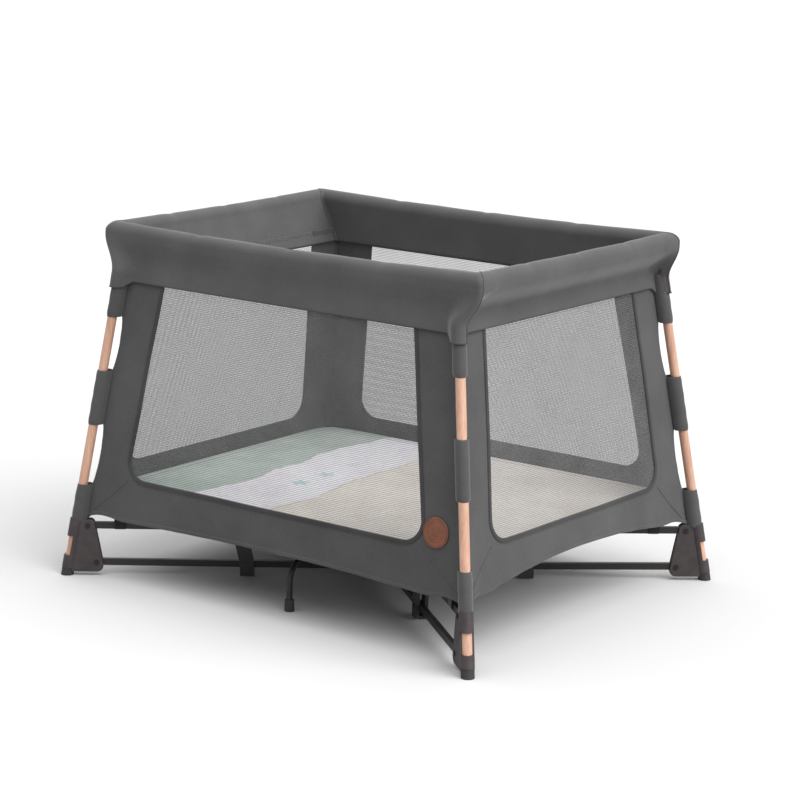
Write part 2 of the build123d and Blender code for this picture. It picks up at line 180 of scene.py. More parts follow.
def fabric(name, dark, light, melange=0.5, roughness=0.9, sheen=0.25):
    """Woven polyester with a melange of darker and lighter yarns and a little sheen."""
    m = Nodes(name)
    place = m.position()
    slub = m.noise(m.position(scale=(1, 1, 0.22)), 900)
    cloud = m.noise(place, 9, 3)
    yarn = m.plus(m.times(slub, melange), m.times(cloud, 1 - melange))
    colour = m.ramp(yarn, [(0.32, dark), (0.68, light)])
    fine = m.bump(m.weave(place, THREADS_PER_METRE), 0.25, 0.0004)
    soft = m.bump(m.noise(place, 34, 3), 0.10, 0.004, fine)
    m.surface(Base_Color=colour, Normal=m.bump(cloud, 0.12, 0.02, soft), Roughness=roughness,
              Sheen_Weight=sheen, Sheen_Roughness=0.4, Specular_IOR_Level=0.25)
    return m.material


def netting(name):
    """Knitted mesh: small diamond holes between grey yarns."""
    m = Nodes(name)
    split = m.add("SeparateXYZ")
    m.link(m.position(source="UV"), split.inputs[0])
    u, v = split.outputs["X"], split.outputs["Y"]
    waves = []
    for slope in ("ADD", "SUBTRACT"):
        across = m.math(slope, u, m.times(v, 0.6))
        waves.append(m.math("SINE", m.times(across, 2 * math.pi / NET_PERIOD)))
    holes = m.plus(m.times(m.times(*waves), 0.5), 0.5)
    cloud = m.noise(m.position(), 14, 3)
    cover = m.plus(m.times(holes, 0.70), m.times(cloud, 0.12))
    colour = m.ramp(cloud, [(0.3, (0.060, 0.060, 0.062)), (0.7, (0.085, 0.085, 0.088))])
    m.surface(Base_Color=colour, Alpha=m.math("ADD", cover, NET_BASE, clamp=True), Roughness=0.8,
              Sheen_Weight=0.2)
    return m.material


GRAIN = 900                # the texture of the mould, per metre


def moulded(name, colour, roughness=0.55):
    """Moulded plastic with a fine spark-eroded grain and lighter worn patches."""
    m = Nodes(name)
    place = m.position()
    wear = m.noise(place, 60, 4)
    brighter = tuple(c * 1.35 + 0.004 for c in colour)
    rough = m.add("MapRange")
    rough.inputs["To Min"].default_value = roughness - 0.08
    rough.inputs["To Max"].default_value = roughness + 0.10
    m.link(m.noise(place, 25, 3), rough.inputs["Value"])
    m.surface(Base_Color=m.ramp(wear, [(0.35, colour), (0.75, brighter)]), Specular_IOR_Level=0.4,
              Normal=m.bump(m.noise(place, GRAIN), 0.35, 0.0002), Roughness=rough.outputs["Result"])
    return m.material


def coated(name, colour, metallic=0.35, roughness=0.42):
    """Powder-coated or zinc-plated metal with fine orange peel."""
    m = Nodes(name)
    place = m.position()
    peel = m.noise(place, 420)
    tone = m.noise(place, 18, 3)
    brighter = tuple(c * 1.25 + 0.002 for c in colour)
    m.surface(Base_Color=m.ramp(tone, [(0.3, colour), (0.8, brighter)]), Metallic=metallic,
              Normal=m.bump(peel, 0.18, 0.0002), Roughness=roughness)
    return m.material


def wood_film(name):
    """Beech-look film on the leg tubes: long straight grain with short dark flecks."""
    m = Nodes(name)
    grain = m.noise(m.position(scale=(1, 1, 0.035)), 260, 5, 0.6)
    flecks = m.noise(m.position(scale=(1, 1, 0.12)), 950)
    broad = m.noise(m.position(scale=(1, 1, 0.15)), 40)
    tone = m.plus(m.times(grain, 0.6), m.times(broad, 0.4))
    base = m.ramp(tone, [(0.34, (0.315, 0.17, 0.112)), (0.52, (0.405, 0.235, 0.163)),
                         (0.70, (0.475, 0.295, 0.215))])
    fleck = m.ramp(flecks, [(0.62, (1, 1, 1)), (0.72, (0.80, 0.72, 0.66))])
    m.surface(Base_Color=m.mix(0.7, base, fleck, "MULTIPLY"), Normal=m.bump(grain, 0.15, 0.0003),
              Roughness=0.42, Coat_Weight=0.12)
    return m.material


def leather(name):
    """Tan leather with fine pores and a little unevenness of colour."""
    m = Nodes(name)
    place = m.position()
    pores = m.noise(place, 1300, 3)
    cloud = m.noise(place, 45, 4)
    m.surface(Base_Color=m.ramp(cloud, [(0.3, (0.088, 0.024, 0.008)), (0.7, (0.145, 0.043, 0.015))]),
              Normal=m.bump(pores, 0.4, 0.0003), Roughness=0.55)
    return m.material


def rubber(name):
    """Dull black rubber with slightly dusty patches."""
    m = Nodes(name)
    place = m.position()
    dust = m.noise(place, 80, 3)
    m.surface(Base_Color=m.ramp(dust, [(0.3, (0.010, 0.010, 0.010)), (0.8, (0.022, 0.021, 0.020))]),
              Normal=m.bump(m.noise(place, 700), 0.2, 0.0002), Roughness=0.75)
    return m.material


SAGE_EDGE_X = -0.280       # where the print changes from sage to white, across the mattress
SAND_EDGE_X = -0.088       # and from white to sand
# each small star: its place, its turn and how strongly it is printed
STARS = ((-0.164, -0.092, 0.3, 0.75), (-0.166, -0.004, 1.1, 0.55), (-0.176, 0.106, 0.7, 0.25))
# each wave line: its place, its half width and its colour
WAVE_LINES = ((SAGE_EDGE_X, 0.004, (0.30, 0.34, 0.30)), (SAND_EDGE_X + 0.003, 0.006, (0.50, 0.46, 0.40)))


def mattress_print(name):
    """Air mesh printed as a shore seen from above: sage water, a white band of foam with
    small stars, and sand, with ragged wave lines between them."""
    m = Nodes(name)
    place = m.position()
    split = m.add("SeparateXYZ")
    m.link(place, split.inputs[0])
    x, y = split.outputs["X"], split.outputs["Y"]
    wander = m.times(m.math("SUBTRACT", m.noise(place, 5, 4, 0.6), 0.5), 0.075)
    swing = m.times(m.math("SINE", m.times(y, 9.0)), 0.014)
    shore = m.plus(x, m.plus(wander, swing))

    def past(edge):
        node = m.add("MapRange", interpolation_type="SMOOTHSTEP")
        node.inputs["From Min"].default_value = edge - 0.0015
        node.inputs["From Max"].default_value = edge + 0.0015
        m.link(shore, node.inputs["Value"])
        return node.outputs["Result"]

    cloud = m.noise(place, 12, 4)
    sage = m.ramp(cloud, [(0.3, (0.325, 0.40, 0.36)), (0.7, (0.43, 0.49, 0.44))])
    foam = m.ramp(cloud, [(0.3, (0.70, 0.665, 0.735)), (0.5, (0.755, 0.735, 0.77)),
                          (0.7, (0.735, 0.755, 0.79))])
    sand = m.ramp(cloud, [(0.3, (0.66, 0.60, 0.54)), (0.7, (0.73, 0.69, 0.635))])
    colour = m.mix(past(SAGE_EDGE_X), sage, foam)
    colour = m.mix(past(SAND_EDGE_X), colour, sand)
    for edge, width, tint in WAVE_LINES:
        near = m.math("ABSOLUTE", m.math("SUBTRACT", shore, edge))
        line = m.math("SUBTRACT", 1.0, m.math("DIVIDE", near, width), clamp=True)
        broken = m.times(line, m.math("GREATER_THAN", m.noise(place, 17, 3), 0.46))
        colour = m.mix(m.times(broken, 0.75), colour, tint)
    for star_x, star_y, turn, strength in STARS:
        dx, dy = m.math("SUBTRACT", x, star_x), m.math("SUBTRACT", y, star_y)
        angle = m.plus(m.math("ARCTAN2", dy, dx), turn)
        reach = m.math("SQRT", m.plus(m.times(dx, dx), m.times(dy, dy)))
        lobes = m.math("ABSOLUTE", m.math("COSINE", m.times(angle, 2.5)))
        edge = m.plus(m.times(lobes, 0.016), 0.006)
        inside = m.math("MULTIPLY", m.math("SUBTRACT", edge, reach), 400.0, clamp=True)
        colour = m.mix(m.times(inside, strength), colour, (0.26, 0.50, 0.53))
    cells = m.add("TexVoronoi", Scale=330.0)
    m.link(place, cells.inputs["Vector"])
    dots = m.ramp(cells.outputs["Distance"], [(0.15, (0.72, 0.72, 0.71)), (0.5, (1, 1, 1))])
    m.surface(Base_Color=m.mix(0.55, colour, dots, "MULTIPLY"), Roughness=0.9, Sheen_Weight=0.15,
              Normal=m.bump(cells.outputs["Distance"], 0.5, 0.0012))
    return m.material


FABRIC = fabric("grey_melange", (0.037, 0.037, 0.0375), (0.060, 0.060, 0.0605))
RIM_FABRIC = fabric("grey_melange_rim", (0.044, 0.044, 0.0445), (0.068, 0.068, 0.0685))
BINDING = fabric("dark_binding", (0.020, 0.020, 0.021), (0.036, 0.036, 0.038), 0.3, 0.8, 0.15)
DARK_CLOTH = fabric("black_cloth", (0.012, 0.012, 0.013), (0.022, 0.022, 0.023), 0.4)
WEBBING = fabric("black_webbing", (0.008, 0.008, 0.009), (0.016, 0.016, 0.017), 0.6, 0.7)
NETTING = netting("mesh_netting")
PRINT = mattress_print("printed_air_mesh")
BRACKET = moulded("warm_brown_plastic", (0.025, 0.0185, 0.0195))
LINK = moulded("dark_link_plastic", (0.022, 0.019, 0.019), 0.5)
HUB = moulded("hub_plastic", (0.022, 0.018, 0.018))
HANDLE = moulded("red_handle", (0.36, 0.030, 0.022), 0.35)
ARMS = coated("brown_black_coat", (0.018, 0.015, 0.014))
RAILS = coated("rail_coat", (0.05, 0.048, 0.048))
PINS = coated("black_zinc", (0.016, 0.014, 0.013), 0.6, 0.35)
WOOD = wood_film("beech_film")
LEATHER = leather("tan_leather")
RUBBER = rubber("black_rubber")

NODE_MATERIALS = {
    "leg_tube": WOOD, "rubber_foot": RUBBER, "support_foot": RUBBER, "foot_bracket": BRACKET,
    "top_corner": BRACKET, "bracket_pins": PINS, "hub_pins": PINS, "lower_arm": ARMS, "upper_arm": ARMS,
    "support_arm": ARMS, "arm_link": LINK, "hub_body": HUB, "hub_cover": HUB, "release_handle": HANDLE,
    "_rail_": RAILS,
}
for node_name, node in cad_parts.items():
    for part, material in NODE_MATERIALS.items():
        if part in node_name:
            for slot in node.material_slots:
                slot.material = material


# ---- mesh helpers ----
SHARP = math.radians(35)   # edges that turn more than this stay crisp


def put_in_scene(thing):
    bpy.context.scene.collection.objects.link(thing)
    return thing


def turned(faces):
    """The same faces, looking the other way."""
    return [tuple(reversed(f)) for f in faces]


def new_piece(name, points, faces, material, flat_places=None, thickness=0.0, levels=0, offset=-1.0):
    """A smooth mesh from points and faces, with its flat cloth coordinates as the UV map,
    thickened and subdivided on request. Its edges stay crisp where they turn sharply."""
    mesh = bpy.data.meshes.new(name)
    mesh.from_pydata([tuple(p) for p in points], [], faces)
    mesh.update()
    if flat_places is not None:
        layer = mesh.uv_layers.new(name="flat")
        for loop in mesh.loops:
            layer.data[loop.index].uv = flat_places[loop.vertex_index]
    piece = put_in_scene(bpy.data.objects.new(name, mesh))
    mesh.materials.append(material)
    if thickness:
        solid = piece.modifiers.new("thickness", "SOLIDIFY")
        solid.thickness = thickness
        solid.offset = offset
    if levels:
        smooth = piece.modifiers.new("smooth", "SUBSURF")
        smooth.levels = smooth.render_levels = levels
    apply_modifiers(piece)
    smooth_shade(piece)
    return piece


def smooth_shade(piece):
    for polygon in piece.data.polygons:
        polygon.use_smooth = True
    piece.data.set_sharp_from_angle(angle=SHARP)


def ripple(p, scale, seed):
    """Smooth noise from -1 to 1 at a place, the same for every piece, so that neighbours meet."""
    return noise.noise(Vector((p[0] * scale, p[1] * scale, p[2] * scale + seed)))


def apply_modifiers(piece):
    """The evaluated mesh takes the place of the mesh and its modifiers."""
    if not piece.modifiers:
        return
    graph = bpy.context.evaluated_depsgraph_get()
    result = bpy.data.meshes.new_from_object(piece.evaluated_get(graph), depsgraph=graph)
    piece.modifiers.clear()
    piece.data = result


def to_corner(points, faces, corner):
    """Mirror a rear right mesh into its corner, and keep its faces outward."""
    sx, sy = CORNERS[corner]
    moved = [Vector((p[0] * sx, p[1] * sy, p[2])) for p in points]
    return moved, turned(faces) if sx * sy < 0 else faces


def grid_faces(rows, columns, first=0, around=False):
    """Faces of a grid of points stored row by row."""
    faces = []
    for r in range(rows - 1):
        for c in range(columns if around else columns - 1):
            a = first + r * columns + c
            b = first + r * columns + (c + 1) % columns
            faces.append((a, b, b + columns, a + columns))
    return faces


def inside(point, loop):
    """Whether a flat point is inside a closed outline."""
    x, y = point
    hit = False
    for (x0, y0), (x1, y1) in zip(loop, loop[1:] + loop[:1]):
        if (y0 > y) != (y1 > y) and x < (x1 - x0) * (y - y0) / (y1 - y0) + x0:
            hit = not hit
    return hit


def resample(line, step):
    """Points along a polyline no further apart than step."""
    out = []
    for (x0, y0), (x1, y1) in zip(line, line[1:]):
        count = max(1, math.ceil(math.hypot(x1 - x0, y1 - y0) / step))
        out += [(x0 + (x1 - x0) * i / count, y0 + (y1 - y0) * i / count) for i in range(count)]
    return out + [line[-1]]


def cut_cloth(outline, hole, step):
    """A flat triangulated cloth panel with an optional hole: (flat points, faces)."""
    edge = resample(outline + outline[:1], step)[:-1]
    loops = [edge]
    if hole:
        loops.append(resample(hole + hole[:1], step)[:-1])
    points, edges = [], []
    for loop in loops:
        first = len(points)
        points += loop
        edges += [(first + i, first + (i + 1) % len(loop)) for i in range(len(loop))]
    xs, ys = [p[0] for p in edge], [p[1] for p in edge]
    tall = step * math.sqrt(3) / 2
    clear = step * 0.55
    rims = list(points)
    for j in range(int((max(ys) - min(ys)) / tall) + 1):
        for i in range(int((max(xs) - min(xs)) / step) + 2):
            p = (min(xs) + (i + 0.5 * (j % 2)) * step, min(ys) + (j + 0.5) * tall)
            if not inside(p, edge) or (hole and inside(p, loops[1])):
                continue
            if min((p[0] - q[0]) ** 2 + (p[1] - q[1]) ** 2 for q in rims) > clear * clear:
                points.append(p)
    flat, _, faces, *_ = delaunay_2d_cdt([Vector(p) for p in points], edges, [], 0, 1e-6)
    kept = []
    for f in faces:
        centre = sum((flat[i] for i in f), Vector((0, 0))) / len(f)
        if inside(centre, edge) and not (hole and inside(centre, loops[1])):
            kept.append(tuple(f))
    return [tuple(p) for p in flat], kept


def between(a, b, share):
    """The flat place a share of the way from a to b."""
    return a[0] + (b[0] - a[0]) * share, a[1] + (b[1] - a[1]) * share


def circle(count):
    """The cosine and sine of each of a number of even steps round a circle."""
    angles = [2 * math.pi * i / count for i in range(count)]
    return [(math.cos(a), math.sin(a)) for a in angles]


def polygon_area(points):
    total = 0.0
    for (x0, y0), (x1, y1) in zip(points, points[1:] + points[:1]):
        total += x0 * y1 - x1 * y0
    return abs(total) / 2


# ---- walls ----
CLOTH = 0.0022
PANEL_STEP = 0.016         # how far apart the points of the cut cloth are
NET_STEP = 0.022
NET_LAP = 0.003            # how far the netting runs under the binding
WALL_TOP = RIM_HEM_Z + 0.035
WINDOW_BOTTOM = 0.226
WINDOW_RADIUS = 0.042
BINDING_WIDTH = 0.010


class Wall:
    """Half of one wall: flat coordinates are (distance from the middle of the side, height)."""

    def __init__(self, long_side, window_half, window_slope, hem_middle, hem_corner):
        self.long_side = long_side
        self.window_half = window_half
        self.window_slope = window_slope
        self.hem_middle = hem_middle
        self.hem_corner = hem_corner

    def edge(self, z):
        """How far the wall reaches from the middle at a height. It is drawn in between the
        sleeves that hold it to the leg."""
        leg = leg_at(z)
        reach = (leg.x if self.long_side else leg.y) - WALL_INSET - 0.001
        for low, high in GAPS:
            if low < z < high:
                reach -= SCALLOP * math.sin(math.pi * (z - low) / (high - low)) ** 0.6
        return reach

    def hem(self, u):
        """Height of the lower edge: it arches up a little beside each leg."""
        reach = self.edge(HEM_Z)
        share = (u / reach) ** 2
        arch = ARCH_RISE * math.exp(-((reach - u - ARCH_PLACE) / ARCH_WIDTH) ** 2)
        return self.hem_middle + (self.hem_corner - self.hem_middle) * share + arch

    def window_edge(self, z):
        return self.window_half - self.window_slope * (z - 0.30)

    def outline(self):
        reach = self.edge(HEM_Z)
        bottom = [(reach * i / 40, self.hem(reach * i / 40)) for i in range(41)]
        start, steps = bottom[-1][1], 60
        heights = [start + (WALL_TOP - start) * i / steps for i in range(1, steps + 1)]
        return bottom + [(self.edge(z), z) for z in heights] + [(0.0, WALL_TOP)]

    def window(self, grow=0.0):
        """The window's outline from the middle of its lower edge, round its corner and up."""
        radius = WINDOW_RADIUS + grow
        bottom = WINDOW_BOTTOM - grow
        centre_z = bottom + radius
        centre_u = self.window_edge(centre_z) + grow - radius
        arc = []
        for i in range(9):
            angle = -math.pi / 2 + math.pi / 2 * i / 8
            arc.append((centre_u + radius * math.cos(angle), centre_z + radius * math.sin(angle)))
        return [(0.0, bottom)] + arc + [(self.window_edge(WALL_TOP) + grow, WALL_TOP)]

    def point(self, corner, u, z, out=0.0):
        """A flat place on the standing wall in a corner, moved outward by out. The cloth is
        pulled into shallow waves, fewer near the legs that hold it."""
        sx, sy = CORNERS[corner]
        leg = leg_at(z)
        place = (u * sx, leg.y * sy, z) if self.long_side else (leg.x * sx, u * sy, z)
        free = min(1.0, max(0.0, 1 - abs(u) / self.edge(z)) * 8)
        low = max(0.0, min(1.0, (WINDOW_BOTTOM - z) / 0.09))
        wave = ripple(place, 6, 3.0) * 0.0024
        crease = ripple((place[0], place[1], place[2] * 0.35), 24, 5.0) * 0.0015 * low
        away = out + (wave + crease - 0.006 * low * free) * free
        if self.long_side:
            return Vector((u * sx, (leg.y - WALL_INSET + away) * sy, z))
        return Vector(((leg.x - WALL_INSET + away) * sx, u * sy, z))


SLEEVES = ((0.557, 0.662), (0.327, 0.444), (0.117, 0.199))
GAPS = ((SLEEVES[1][1] - 0.004, SLEEVES[0][0] + 0.004), (SLEEVES[2][1] - 0.004, SLEEVES[1][0] + 0.004))
SCALLOP = 0.010            # how far the wall's edge is drawn in between sleeves
ARCH_RISE = 0.009
ARCH_PLACE = 0.035
ARCH_WIDTH = 0.038
LONG_WALL = Wall(True, 0.374, 0.155, 0.139, 0.124)
SHORT_WALL = Wall(False, 0.287, 0.090, 0.158, 0.118)


def face_outward(wall, faces, corner):
    """The faces of a wall's flat piece, turned so that they look outward in its corner."""
    sx, sy = CORNERS[corner]
    return turned(faces) if wall.long_side != (sx * sy < 0) else faces


def cloth_piece(name, wall, flat, faces, corner, material, out=0.0, thickness=CLOTH):
    """A cut panel stood up as part of a wall."""
    points = [wall.point(corner, u, z, out) for u, z in flat]
    return new_piece(name, points, face_outward(wall, faces, corner), material, flat, thickness)


def ribbon(line, wall, corner, width, height):
    """A raised strip that follows a flat line on a wall: points and faces."""
    profile = ((-0.5, 0.0), (-0.38, 0.75), (0.0, 1.0), (0.38, 0.75), (0.5, 0.0))
    line = resample(line, 0.008)
    points = []
    for i, (u, z) in enumerate(line):
        before, after = line[max(i - 1, 0)], line[min(i + 1, len(line) - 1)]
        du, dz = after[0] - before[0], after[1] - before[1]
        size = math.hypot(du, dz)
        nu, nz = -dz / size, du / size
        for side, rise in profile:
            across = side * width
            points.append(wall.point(corner, u + nu * across, z + nz * across, rise * height))
    return points, face_outward(wall, grid_faces(len(line), len(profile)), corner)


SPLIT_X, SPLIT_Y = 0.400, 0.306   # the cloth beyond these stays as it is beside the leg


def keep_side(piece, axis, limit, sign):
    """Cut a mesh by a plane across an axis, keep the side that sign points to, and say whether
    anything is left."""
    place, normal = Vector(), Vector()
    place[axis] = limit
    normal[axis] = sign
    mesh = bmesh.new()
    mesh.from_mesh(piece.data)
    made = bmesh.ops.bisect_plane(mesh, geom=mesh.verts[:] + mesh.edges[:] + mesh.faces[:],
                                  dist=1e-6, plane_co=place, plane_no=normal, clear_inner=True)
    cut = [e for e in made["geom_cut"] if isinstance(e, bmesh.types.BMEdge)]
    bmesh.ops.holes_fill(mesh, edges=cut)
    for edge in cut:
        edge.smooth = False
    mesh.to_mesh(piece.data)
    left = len(mesh.faces) > 0
    mesh.free()
    return left


def gather(piece, corner, long_side):
    """The part of a piece beside its leg rides on the leg as it is. The rest, towards the
    middle of the side, is cut off and rides on the leg too. Returns each part with its share of the area."""
    sx, sy = CORNERS[corner]
    axis = 0 if long_side else 1
    sign = (sx, sy)[axis]
    split = (SPLIT_X, SPLIT_Y)[axis]
    whole = sum(f.area for f in piece.data.polygons)
    middle = piece.copy()
    middle.data = piece.data.copy()
    middle.name = f"{piece.name}_middle"
    put_in_scene(middle)
    parts = []
    for part, side in ((piece, sign), (middle, -sign)):
        if not keep_side(part, axis, split * sign, side):
            bpy.data.objects.remove(part)
            continue
        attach(part, f"leg_{corner}")
        if side != sign:
            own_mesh(part)
        parts.append((part, sum(f.area for f in part.data.polygons) / whole))
    return parts


PANEL_SHARE = 0.35         # cloth that fills less of its outline than this is an L, not a panel


def declare_cloth(part, area):
    """Work out the size of the cloth a wall's part was cut from: a panel, or an L laid out
    straight where it runs round a window. The sizes are not kept or passed on."""
    axes = zip(*(v.co for v in part.data.vertices))
    spans = [max(axis) - min(axis) for axis in axes]
    across, tall = max(spans[:2]), spans[2]
    if area < PANEL_SHARE * across * tall:
        tall += across
        across = area / tall


def build_wall(wall, corner):
    kind = "long" if wall.long_side else "short"
    flat, faces = cut_cloth(wall.outline(), wall.window() + [(0.0, WALL_TOP)], PANEL_STEP)
    panel = cloth_piece(f"wall_{kind}_{corner}", wall, flat, faces, corner, FABRIC)
    area = sum(polygon_area([flat[i] for i in f]) for f in faces)
    for part, share in gather(panel, corner, wall.long_side):
        declare_cloth(part, area * share)
    if wall.long_side:
        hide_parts(f"wall_{corner}")

    flat, faces = cut_cloth(wall.window(NET_LAP) + [(0.0, WALL_TOP)], None, NET_STEP)
    net = cloth_piece(f"window_{kind}_{corner}", wall, flat, faces, corner, NETTING, -0.0012, 0.0)
    area = sum(polygon_area([flat[i] for i in f]) for f in faces)
    for part, share in gather(net, corner, wall.long_side):
        declare_cloth(part, area * share)

    edge = wall.edge(HEM_Z)
    binding = wall.window(BINDING_WIDTH / 2 - 0.001)
    hem = [(edge * i / 50, wall.hem(edge * i / 50) + 0.004) for i in range(51)]
    corner_u = wall.window_edge(WINDOW_BOTTOM + 0.02)
    seam = [(corner_u + 0.004, WINDOW_BOTTOM - 0.006), (edge - 0.012, wall.hem(edge) + 0.012)]
    # each strip's name, line, width, height and material
    strips = (("binding", binding, BINDING_WIDTH, 0.0024, BINDING), ("hem", hem, 0.008, 0.0016, FABRIC),
              ("gusset_seam", seam, 0.0032, 0.0012, FABRIC))
    for what, line, width, height, material in strips:
        points, faces = ribbon(line, wall, corner, width, height)
        strip = new_piece(f"{what}_{kind}_{corner}", points, faces, material)
        gather(strip, corner, wall.long_side)


def build_wall_corner(corner):
    """The strip that joins the long wall to the short wall behind the leg, from hem to rim."""
    sx, sy = CORNERS[corner]
    low = max(LONG_WALL.hem(LONG_WALL.edge(HEM_Z)), SHORT_WALL.hem(SHORT_WALL.edge(HEM_Z)))
    rows, columns = 60, 9
    points = []
    for r in range(rows + 1):
        z = low + (WALL_TOP - low) * r / rows
        leg = leg_at(z)
        start = Vector((LONG_WALL.edge(z) - 0.003, leg.y - WALL_INSET - 0.001, z))
        end = Vector((leg.x - WALL_INSET - 0.001, SHORT_WALL.edge(z) - 0.003, z))
        corner_point = Vector((leg.x - WALL_INSET - 0.003, leg.y - WALL_INSET - 0.003, z))
        for c in range(columns):
            t = c / (columns - 1)
            p = start * (1 - t) ** 2 + corner_point * (2 * t * (1 - t)) + end * t ** 2
            tuck = ripple((sx, sy, z), 22, 4.0) * 0.002 * math.sin(math.pi * t)
            points.append(Vector(((p.x - tuck) * sx, (p.y - tuck) * sy, z)))
    faces = grid_faces(rows + 1, columns)
    if sx * sy > 0:
        faces = turned(faces)
    strip = new_piece(f"wall_corner_{corner}", points, faces, FABRIC, None, 0.0016)
    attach(strip, f"leg_{corner}")


# ---- sleeves round the legs ----
SLEEVE_RADIUS = 0.0124
FLAP = 0.019               # how far a sleeve runs onto each wall


def sleeve_section(z, radius):
    """The path of a sleeve at a height: off the long wall, round the leg, onto the short wall."""
    leg = leg_at(z)
    on_wall = -WALL_INSET + 0.0012
    path = []
    for i in range(8):
        t = i / 8
        rise = on_wall + (radius - on_wall) * math.sin(t * math.pi / 2) ** 0.8
        path.append((-FLAP + FLAP * (1 - math.cos(t * math.pi / 2)), rise))
    for i in range(13):
        angle = math.pi / 2 - math.pi / 2 * i / 12
        path.append((radius * math.cos(angle), radius * math.sin(angle)))
    path += [(b, a) for a, b in reversed(path[:8])]
    return [Vector((leg.x + a, leg.y + b, z)) for a, b in path]


def build_sleeves(corner):
    for number, (low, high) in enumerate(SLEEVES):
        rows = max(6, int((high - low) / 0.010))
        points = []
        for r in range(rows + 1):
            z = low + (high - low) * r / rows
            end = min(z - low, high - z)
            tight = SLEEVE_RADIUS + 0.0006 * math.sin(z * 190) - 0.0008 * math.exp(-end / 0.004)
            points += sleeve_section(z, tight)
        columns = len(points) // (rows + 1)
        points, faces = to_corner(points, turned(grid_faces(rows + 1, columns)), corner)
        sleeve = new_piece(f"leg_sleeve_{number}_{corner}", points, faces, FABRIC, None, 0.0012, 1)
        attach(sleeve, f"leg_{corner}")
        section = sleeve_section(low, SLEEVE_RADIUS)


# ---- padded rim ----
ROLL = 0.020               # half height of the padded roll
ROLL_Z = RIM_TOP - ROLL
RIM_CORNER = 0.009
RIM_INNER_CORNER = 0.005
EAR = 0.003                # how far the corners are pulled out past the sides
LONG_STEPS = 64
CORNER_STEPS = 14
SHORT_STEPS = 48
SAG_LONG = 0.007
SAG_SHORT = 0.003
TAB_RADIUS = 0.0168        # the cover's tab wraps the leg at its lower end
LONG_FLARE = 0.040         # how far from the leg the skirt starts to swing out round it
SHORT_FLARE = 0.018
NECK_START_Z = 0.653       # from here the fitting inside the rim runs off the leg's line
NECK_END = (0.449, 0.335, 0.718)
TAB_DROP = 0.012           # how far the tab hangs below the hem, and how wide it fades out
TAB_FADE = 0.018
FLARE_START = 0.32         # share of the skirt's height where it starts to swing out to the roll
FLARE_RUN = 0.60
SKIRT_ROWS = 26
ROLL_ROWS = 22
DROP_ROWS = 14
SEAM_COLUMN = LONG_STEPS + CORNER_STEPS


def ease(t):
    t = min(1.0, max(0.0, t))
    return t * t * (3 - 2 * t)


def corner_path(half_x, half_y, radius, ear=0.0):
    """A quarter of a rounded rectangle, from the middle of its long side to that of its short
    side, always with as many points."""
    path = [((half_x - radius) * i / LONG_STEPS, half_y) for i in range(LONG_STEPS)]
    for i in range(CORNER_STEPS + 1):
        angle = math.pi / 2 - math.pi / 2 * i / CORNER_STEPS
        path.append((half_x - radius + radius * math.cos(angle), half_y - radius + radius * math.sin(angle)))
    path += [(half_x, (half_y - radius) * (1 - (i + 1) / SHORT_STEPS)) for i in range(SHORT_STEPS)]
    pulled = []
    for x, y in path:
        pull = ear * math.exp(-((half_x - x) ** 2 + (half_y - y) ** 2) / 0.09 ** 2)
        pulled.append((x + pull, y + pull))
    return pulled


def stem_at(z):
    """The axis that the corner of the skirt wraps: the leg, then the neck of the fitting."""
    if z < NECK_START_Z:
        return leg_at(z)
    start, end = leg_at(NECK_START_Z), Vector(NECK_END)
    return start + (end - start) * ((z - NECK_START_Z) / (end.z - NECK_START_Z))


def skirt_point(z, k):
    """Where a column of the rim's skirt would hang at a height. The columns run along the long
    wall, out round the leg, and along the short wall."""
    wall_y, wall_x = leg_at(z).y - WALL_INSET + 0.004, leg_at(z).x - WALL_INSET + 0.006
    stem = stem_at(z)
    if k < LONG_STEPS:
        x = stem.x * k / LONG_STEPS
        near = ease((x - stem.x + LONG_FLARE) / LONG_FLARE)
        return x, wall_y + (stem.y + TAB_RADIUS - wall_y) * near
    if k <= SEAM_COLUMN:
        angle = math.pi / 2 * (1 - (k - LONG_STEPS) / CORNER_STEPS)
        return stem.x + TAB_RADIUS * math.cos(angle), stem.y + TAB_RADIUS * math.sin(angle)
    y = stem.y * (1 - (k - SEAM_COLUMN) / SHORT_STEPS)
    near = ease((y - stem.y + SHORT_FLARE) / SHORT_FLARE)
    return wall_x + (stem.x + TAB_RADIUS - wall_x) * near, y


